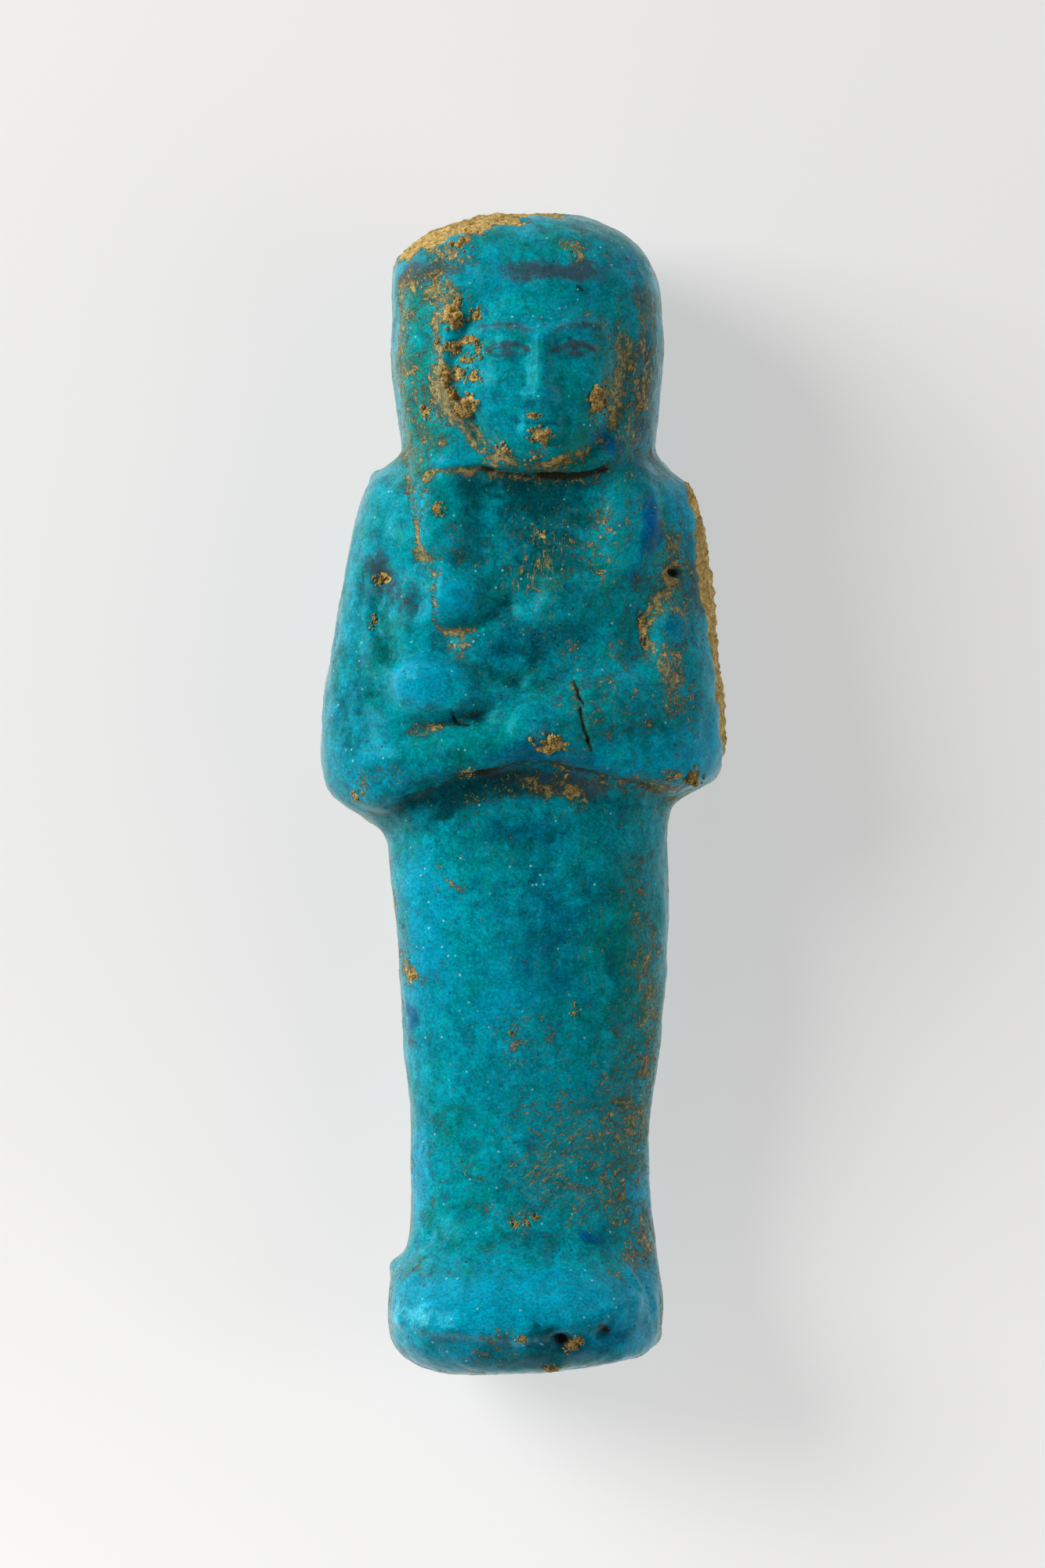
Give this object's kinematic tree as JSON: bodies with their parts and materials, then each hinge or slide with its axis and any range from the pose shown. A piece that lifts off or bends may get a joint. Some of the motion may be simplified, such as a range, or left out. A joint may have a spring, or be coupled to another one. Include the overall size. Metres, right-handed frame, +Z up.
{
  "type": "ushabti figurine",
  "caption": "Small mummiform funerary figurine with a plain wig and crossed arms, moulded in one piece from blue-green glazed faience, lying on its flat back.",
  "frame": {"origin": "on the surface that the figurine lies on, under the centre of its box; the flat back is at z = 0", "axes": "+Y from the feet towards the crown, +X to the right of a viewer who looks down on the face, +Z up, away from the flat back and towards the face"},
  "size_m": [0.0368, 0.1048, 0.0248],
  "materials": {
    "faience": "satin",
    "soil": "matte"
  },
  "bodies": {
    "root": {"faience_figure": "faience"}
  },
  "joints": []
}
